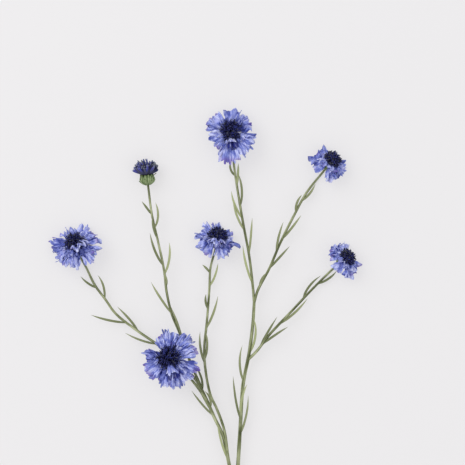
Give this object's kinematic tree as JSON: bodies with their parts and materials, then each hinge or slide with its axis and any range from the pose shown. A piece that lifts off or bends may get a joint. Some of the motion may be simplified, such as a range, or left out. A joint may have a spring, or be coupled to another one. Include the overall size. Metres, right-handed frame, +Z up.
{
  "type": "cornflower spray",
  "caption": "Blue cornflower spray lying flat: one forked green stem with open fringed blooms, dark tufts and a half-open bud.",
  "frame": {"origin": "on the surface that the spray lies on, below the middle of its outline", "axes": "+Y along the spray from the cut end of the stem to the blooms, +X to the right as seen from above, +Z up, the way the blooms face"},
  "size_m": [0.2506, 0.4341, 0.0348],
  "materials": {
    "stem_green": "sage green, satin",
    "calyx_green": "mid green, satin",
    "ray_blue": "periwinkle blue, soft",
    "tuft_navy": "near-black blue, soft"
  },
  "bodies": {
    "root": {"main_stem": "stem_green", "top_stalk": "stem_green", "top_calyx": "calyx_green", "top_rays": "ray_blue", "top_disc": "tuft_navy", "upper_right_stalk": "stem_green", "upper_right_calyx": "calyx_green", "upper_right_rays": "ray_blue", "upper_right_disc": "tuft_navy", "right_stalk": "stem_green", "right_calyx": "calyx_green", "right_rays": "ray_blue", "right_disc": "tuft_navy", "centre_stalk": "stem_green", "centre_calyx": "calyx_green", "centre_rays": "ray_blue", "centre_disc": "tuft_navy", "left_stalk": "stem_green", "left_calyx": "calyx_green", "left_rays": "ray_blue", "left_disc": "tuft_navy", "bud_stalk": "stem_green", "bud_calyx": "calyx_green", "bud_disc": "tuft_navy", "front_stalk": "stem_green", "front_calyx": "calyx_green", "front_rays": "ray_blue", "front_disc": "tuft_navy"}
  },
  "joints": []
}
